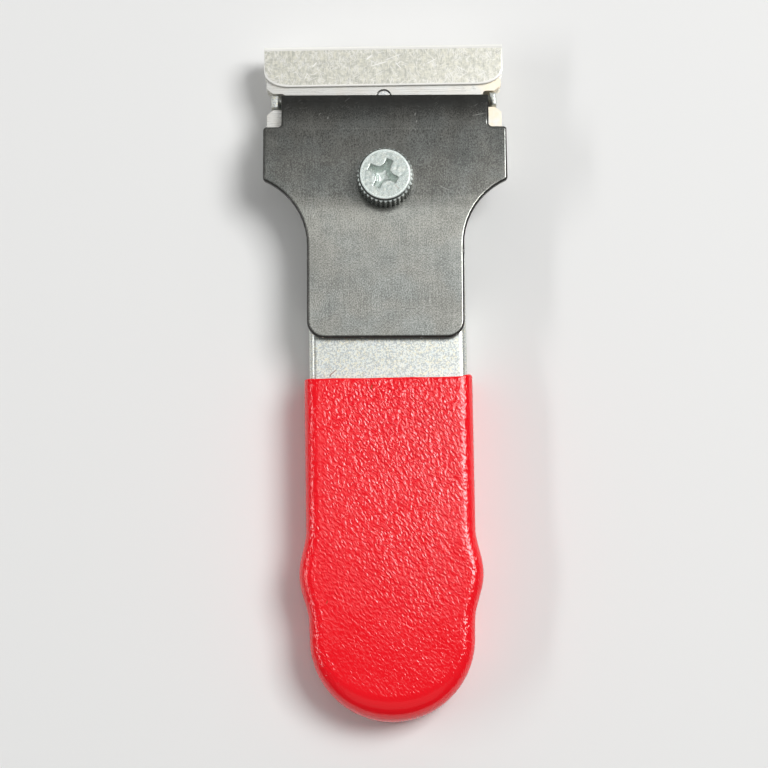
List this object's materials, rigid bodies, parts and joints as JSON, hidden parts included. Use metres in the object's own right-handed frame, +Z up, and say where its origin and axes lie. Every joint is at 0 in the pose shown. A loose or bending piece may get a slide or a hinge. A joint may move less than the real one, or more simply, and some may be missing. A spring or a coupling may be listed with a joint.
{
  "type": "multi-blade scraper",
  "caption": "Hand scraper with a vinyl-dipped channel handle, a clamp plate and knurled thumb screw over a stack of single-edge blades, and a slip-on edge guard.",
  "frame": {"origin": "under the middle of the bounding box, on the surface the tool lies on", "axes": "+Y along the handle to the cutting edges, +Z up out of the clamp plate, +X to the right"},
  "size_m": [0.0394, 0.1094, 0.0153],
  "materials": {
    "zinc_plate": "bright zinc plate",
    "red_vinyl": "dipped vinyl with a grained face",
    "black_oxide": "matt black",
    "guard_steel": "dull plated sheet, fine scratches",
    "blade_steel": "bright blade steel",
    "spine_steel": "satin folded steel"
  },
  "bodies": {
    "frame": {"handle_frame": "zinc_plate", "vinyl_grip": "red_vinyl", "clinch_nut": "zinc_plate", "locating_pin": "spine_steel", "blade_1": "blade_steel", "blade_2": "blade_steel", "blade_3": "blade_steel", "blade_4": "blade_steel", "blade_5": "blade_steel", "blade_spine_1": "spine_steel", "blade_spine_2": "spine_steel", "blade_spine_3": "spine_steel", "blade_spine_4": "spine_steel", "blade_spine_5": "spine_steel"},
    "clamp": {"clamp_plate": "black_oxide"},
    "screw": {"thumb_screw": "zinc_plate"},
    "guard": {"blade_guard": "guard_steel"}
  },
  "joints": [
    {"name": "screw_turn", "type": "hinge", "parent": "clamp", "child": "screw", "pos_m": [0, 0.03157, 0.0105], "axis": [0, 0, 1], "range_deg": [0, 1440]},
    {"name": "clamp_lift", "type": "slide", "parent": "frame", "child": "clamp", "axis": [0, 0, 1], "range_m": [0, 0.0028]},
    {"name": "guard_pull", "type": "slide", "parent": "frame", "child": "guard", "axis": [0, 1, 0], "range_m": [0, 0.012]}
  ],
  "couplings": [
    {"joint": "screw_turn", "follows": "clamp_lift", "rad_per_m": 8975.9}
  ]
}
